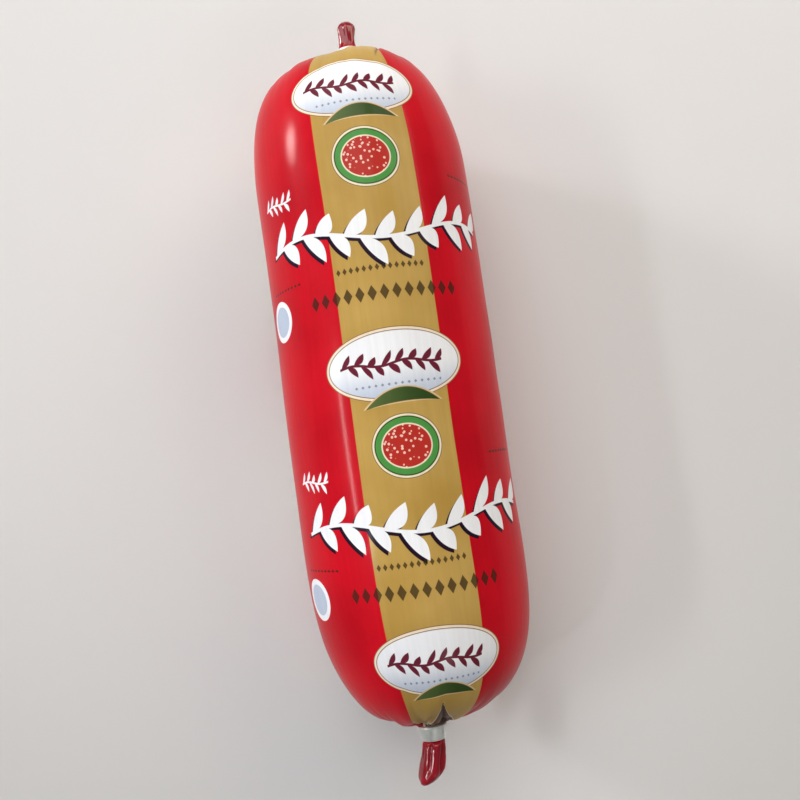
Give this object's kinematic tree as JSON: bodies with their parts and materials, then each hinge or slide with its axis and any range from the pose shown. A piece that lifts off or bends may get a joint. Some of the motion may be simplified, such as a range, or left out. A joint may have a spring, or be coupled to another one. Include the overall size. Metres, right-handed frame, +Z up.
{
  "type": "clipped sausage chub",
  "caption": "Cured sausage in a smooth printed casing, a round-ended log with both ends gathered and closed by a crimped metal clip, lying on its side.",
  "frame": {"origin": "on the surface the sausage lies on, under the middle of its whole length, tails included", "axes": "+X along the sausage towards its head end, the end with the shorter tail; +Z up, out of the printed gold stripe; +Y to the left of someone looking towards the head end"},
  "size_m": [0.2116, 0.0586, 0.0575],
  "materials": {
    "printed_film": "glossy printed sausage film, red with a gold stripe along the top",
    "clip_metal": "satin, drawn and crimped"
  },
  "bodies": {
    "root": {"filled_casing": "printed_film", "foot_clip": "clip_metal", "head_clip": "clip_metal"}
  },
  "joints": []
}
